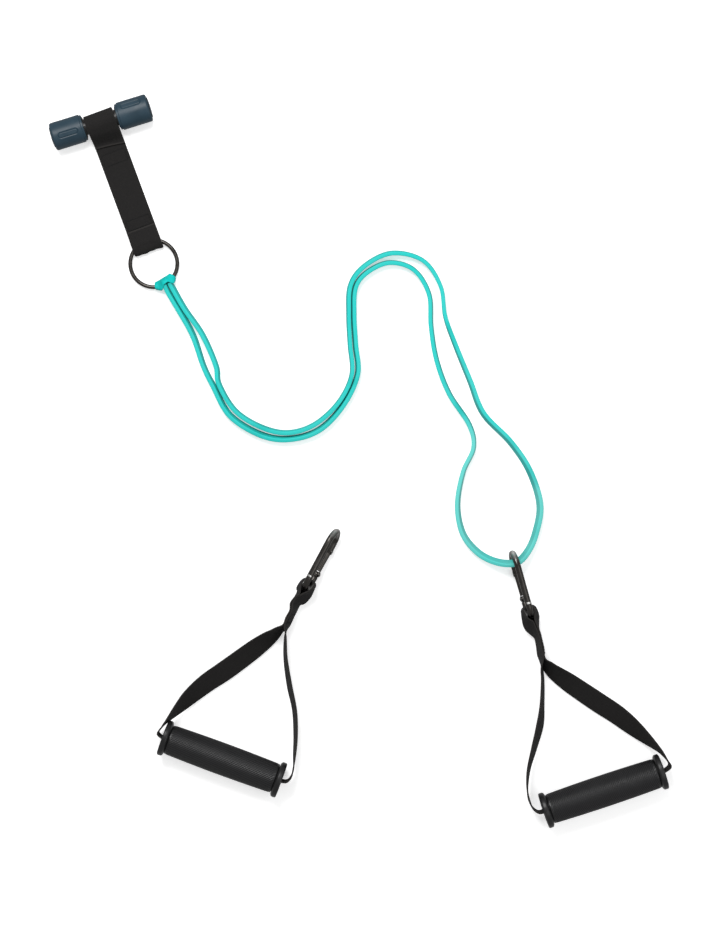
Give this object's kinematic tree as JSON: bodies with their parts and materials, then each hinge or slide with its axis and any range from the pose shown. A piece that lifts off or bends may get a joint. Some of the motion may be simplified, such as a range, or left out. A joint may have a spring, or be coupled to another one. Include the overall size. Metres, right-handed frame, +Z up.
{
  "type": "resistance band",
  "caption": "Looped flat latex resistance band hitched to a ring with a door anchor, with one stirrup handle clipped on and a second handle beside it.",
  "frame": {"origin": "middle of the plan box of the hard goods, on the floor they lie on", "axes": "+Z up from the floor, +Y along the longest side of the layout towards the door anchor, +X across it"},
  "size_m": [0.6164, 0.7281, 0.036],
  "materials": {
    "latex": "satin moulded latex",
    "webbing": "woven polyester webbing",
    "thread": "polyester thread",
    "black_metal": "black satin plating",
    "steel": "plain steel",
    "roller_foam": "matt slate blue moulding",
    "grip_rubber": "fine ribbed rubber",
    "black_plastic": "satin moulded plastic"
  },
  "bodies": {
    "band": {"band": "latex", "band_hitch": "latex", "anchor_ring": "black_metal"},
    "anchor": {"anchor_strap": "webbing", "anchor_bar_stitching": "thread", "anchor_ring_stitching": "thread", "anchor_axle": "steel", "anchor_core": "black_plastic", "anchor_left_end_cap": "roller_foam", "anchor_right_end_cap": "roller_foam"},
    "anchor_left_roller": {"anchor_left_roller": "roller_foam"},
    "anchor_right_roller": {"anchor_right_roller": "roller_foam"},
    "clipped_hook": {"clipped_carabiner_body": "black_metal", "clipped_gate_pivot_pin": "steel"},
    "clipped_gate": {"clipped_carabiner_gate": "black_metal", "clipped_gate_latch_pin": "steel", "clipped_gate_spring": "steel"},
    "clipped_handle": {"clipped_handle_strap": "webbing", "clipped_strap_stitching": "thread"},
    "clipped_grip": {"clipped_grip_core": "black_plastic", "clipped_grip_sleeve": "grip_rubber", "clipped_left_flange": "black_plastic", "clipped_right_flange": "black_plastic"},
    "loose_hook": {"loose_carabiner_body": "black_metal", "loose_gate_pivot_pin": "steel"},
    "loose_gate": {"loose_carabiner_gate": "black_metal", "loose_gate_latch_pin": "steel", "loose_gate_spring": "steel"},
    "loose_handle": {"loose_handle_strap": "webbing", "loose_strap_stitching": "thread"},
    "loose_grip": {"loose_grip_core": "black_plastic", "loose_grip_sleeve": "grip_rubber", "loose_left_flange": "black_plastic", "loose_right_flange": "black_plastic"}
  },
  "joints": [
    {"name": "anchor_swing", "type": "hinge", "parent": "band", "child": "anchor", "pos_m": [-0.20545, 0.19733, 0.0046], "axis": [0, 0, 1], "range_deg": [-85, 95]},
    {"name": "left_roller_spin", "type": "hinge", "parent": "anchor", "child": "anchor_left_roller", "pos_m": [-0.25714, 0.33708, 0.014], "axis": [0.9548, 0.2974, 0], "continuous": true},
    {"name": "right_roller_spin", "type": "hinge", "parent": "anchor", "child": "anchor_right_roller", "pos_m": [-0.25714, 0.33708, 0.014], "axis": [0.9548, 0.2974, 0], "continuous": true},
    {"name": "clipped_hook_swing", "type": "hinge", "parent": "band", "child": "clipped_hook", "pos_m": [0.15415, -0.10087, 0.017], "axis": [0, 0, 1], "range_deg": [-12, 12]},
    {"name": "clipped_handle_swing", "type": "hinge", "parent": "clipped_hook", "child": "clipped_handle", "pos_m": [0.16913, -0.15293, 0.01909], "axis": [0, 0, 1], "range_deg": [-10, 10]},
    {"name": "loose_handle_lift", "type": "slide", "parent": "band", "child": "loose_handle", "axis": [0, 0, 1], "range_m": [0, 0.15]},
    {"name": "loose_hook_swing", "type": "hinge", "parent": "loose_handle", "child": "loose_hook", "pos_m": [-0.05305, -0.12599, 0.01904], "axis": [0, 0, 1], "range_deg": [-10, 10]},
    {"name": "clipped_gate_swing", "type": "hinge", "parent": "clipped_hook", "child": "clipped_gate", "pos_m": [0.16353, -0.13694, 0.00664], "axis": [0.9595, 0.2679, -0.0872], "range_deg": [0, 25], "stiffness_Nm_per_rad": 0.02, "springref_deg": -28.65},
    {"name": "clipped_grip_spin", "type": "hinge", "parent": "clipped_handle", "child": "clipped_grip", "pos_m": [0.2421, -0.32742, 0.018], "axis": [0.9483, 0.3173, 0], "continuous": true},
    {"name": "loose_gate_swing", "type": "hinge", "parent": "loose_hook", "child": "loose_gate", "pos_m": [-0.0428, -0.11231, 0.00682], "axis": [0.8629, -0.4607, 0.2079], "range_deg": [0, 25], "stiffness_Nm_per_rad": 0.02, "springref_deg": -28.65},
    {"name": "loose_grip_spin", "type": "hinge", "parent": "loose_handle", "child": "loose_grip", "pos_m": [-0.13655, -0.29547, 0.018], "axis": [0.9385, -0.3453, 0], "continuous": true}
  ]
}
